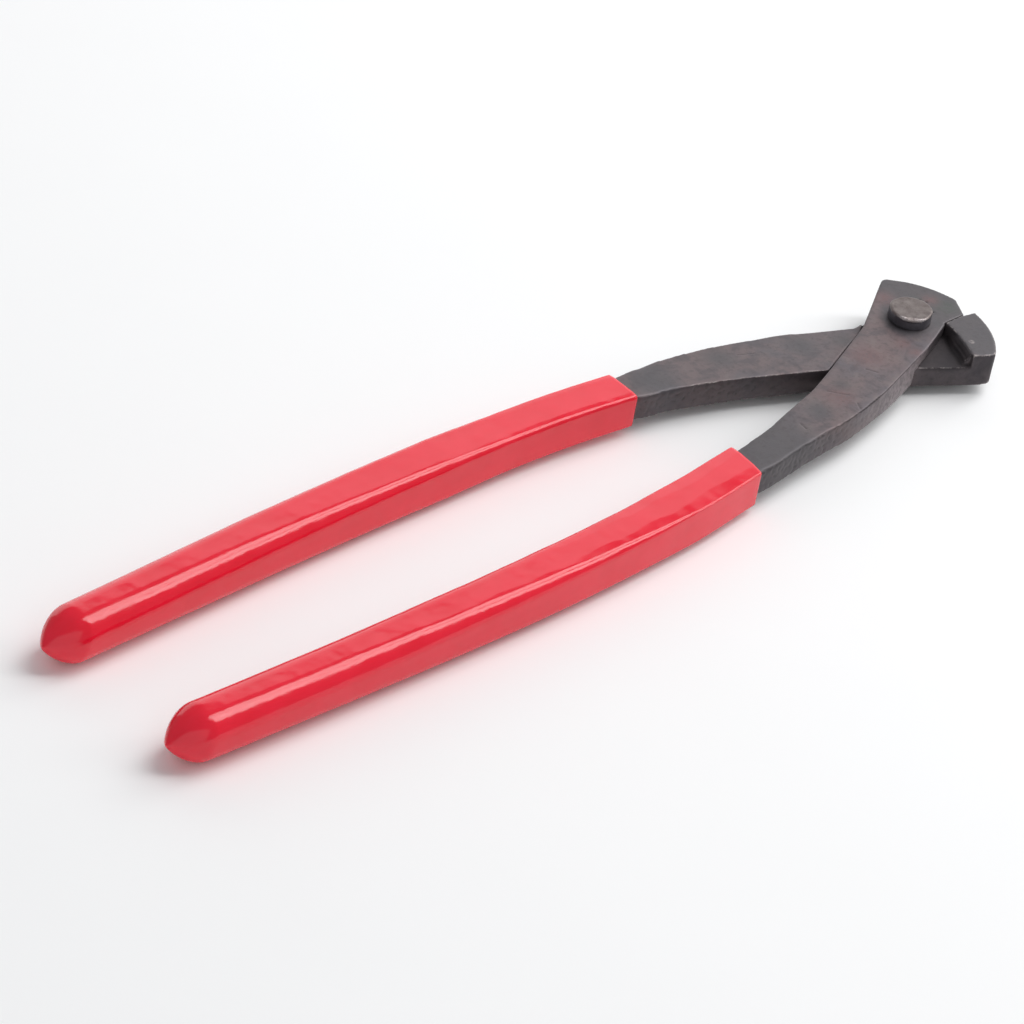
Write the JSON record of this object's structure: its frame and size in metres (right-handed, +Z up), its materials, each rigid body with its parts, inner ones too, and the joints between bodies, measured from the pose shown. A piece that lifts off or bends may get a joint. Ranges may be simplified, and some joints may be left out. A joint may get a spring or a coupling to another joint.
{
  "type": "end nippers",
  "caption": "Long-handled end nippers for fence and trellis wire: two forged levers on a riveted lap joint, with dipped plastic grips.",
  "frame": {"origin": "centre of the bounding box, on the surface that the tool lies on", "axes": "+X from the palm ends to the jaws, +Y to the side of the upper lever's jaw, +Z up along the rivet"},
  "size_m": [0.2798, 0.0584, 0.015],
  "materials": {
    "forged_steel": "blackened forged steel with heat tints, satin",
    "rivet_steel": "worn warm grey steel with a bright chamfer",
    "dipped_plastic": "glossy red dipped PVC"
  },
  "bodies": {
    "lower_side": {"lower_lever": "forged_steel", "lower_grip": "dipped_plastic", "pivot_rivet": "rivet_steel"},
    "upper_side": {"upper_lever": "forged_steel", "upper_grip": "dipped_plastic"}
  },
  "joints": [
    {"name": "jaw_hinge", "type": "hinge", "parent": "lower_side", "child": "upper_side", "pos_m": [0.12252, 0.00282, 0.0083], "axis": [0, 0, 1], "range_deg": [0, 40]}
  ]
}
